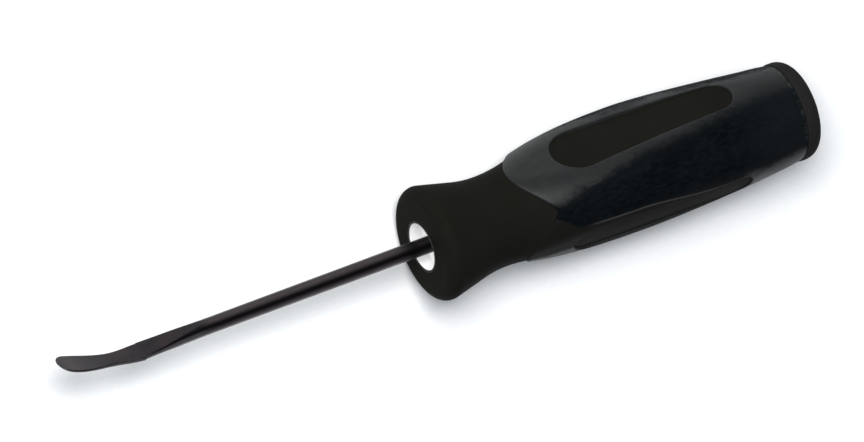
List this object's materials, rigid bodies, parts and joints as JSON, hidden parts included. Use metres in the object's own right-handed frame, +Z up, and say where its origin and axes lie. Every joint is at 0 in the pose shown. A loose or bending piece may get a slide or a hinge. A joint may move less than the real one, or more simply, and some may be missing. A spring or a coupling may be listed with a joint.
{
  "type": "seal removal tool",
  "caption": "Hand tool with a thin round shank, an upturned spatula tip and a three-sided two-material handle, for lifting seals out of their seats.",
  "frame": {"origin": "on the surface the tool lies on, under the middle of its length and width", "axes": "+X along the tool's axis from the tip of the blade to the butt, +Z up as it lies with one flat side of the handle down, the blade's tip bent upward and towards +Y"},
  "size_m": [0.2144, 0.0324, 0.0321],
  "materials": {
    "black_steel": "black oxide, satin",
    "white_plastic": "moulded, satin",
    "hard_plastic": "moulded, fine satin",
    "soft_grip": "soft moulded, matt"
  },
  "bodies": {
    "root": {"blade": "black_steel", "core": "white_plastic", "body": "hard_plastic", "grip": "soft_grip"}
  },
  "joints": []
}
